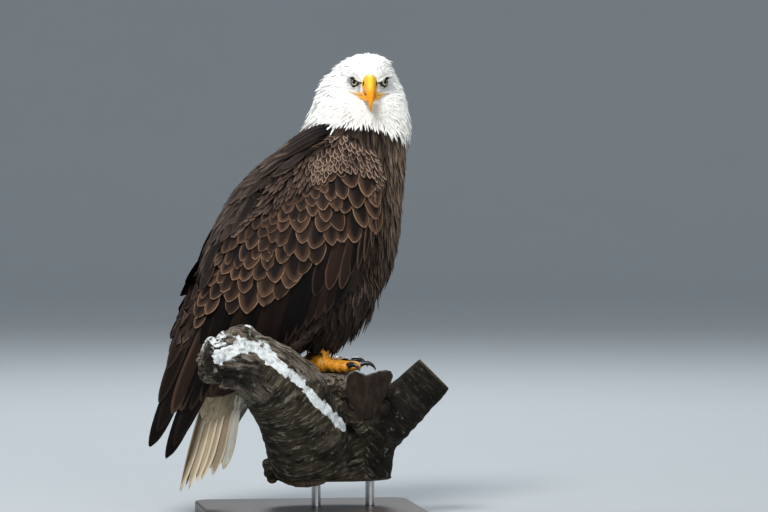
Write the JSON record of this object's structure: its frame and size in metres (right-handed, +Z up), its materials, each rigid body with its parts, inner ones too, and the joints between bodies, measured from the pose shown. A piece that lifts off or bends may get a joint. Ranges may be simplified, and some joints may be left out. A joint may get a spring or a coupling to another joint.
{
  "type": "bald eagle model",
  "caption": "Life-size still model of a bald eagle perched on a cut forked trunk with its head turned aside, carried by rods on a flat display base.",
  "frame": {"origin": "middle of the display base's underside", "axes": "+Z up; the bird's breast faces -Y and its right side is at -X; its head is turned towards -X"},
  "size_m": [0.3936, 0.5118, 0.8104],
  "materials": {
    "white_plumage": "soft white feathers",
    "brown_plumage": "dark brown feathers with paler rims",
    "flight_feathers": "smooth blackish flight feathers",
    "yellow_skin": "scaly yellow skin",
    "bill_horn": "smooth yellow horn",
    "claw_horn": "polished black horn",
    "eye": "wet pale yellow eye with a black pupil",
    "bark": "rough grey-brown bark",
    "sawn_wood": "weathered sawn wood",
    "stand_wood": "dark stained, satin",
    "stand_steel": "brushed"
  },
  "bodies": {
    "root": {"head": "white_plumage", "neck": "white_plumage", "tail": "white_plumage", "trunk": "brown_plumage", "wing_right": "brown_plumage", "wing_left": "brown_plumage", "thigh_right": "brown_plumage", "thigh_left": "brown_plumage", "primaries_right": "flight_feathers", "primaries_left": "flight_feathers", "cere": "yellow_skin", "shank_right": "yellow_skin", "shank_left": "yellow_skin", "foot_right": "yellow_skin", "foot_left": "yellow_skin", "bill_upper": "bill_horn", "bill_lower": "bill_horn", "talon_right_1": "claw_horn", "talon_right_2": "claw_horn", "talon_right_3": "claw_horn", "talon_right_4": "claw_horn", "talon_left_1": "claw_horn", "talon_left_2": "claw_horn", "talon_left_3": "claw_horn", "talon_left_4": "claw_horn", "eye_right": "eye", "eye_left": "eye", "perch_trunk": "bark", "perch_limb": "bark", "perch_fork": "bark", "perch_snag": "sawn_wood", "stand_base": "stand_wood", "stand_rod_front": "stand_steel", "stand_rod_back": "stand_steel"}
  },
  "joints": []
}
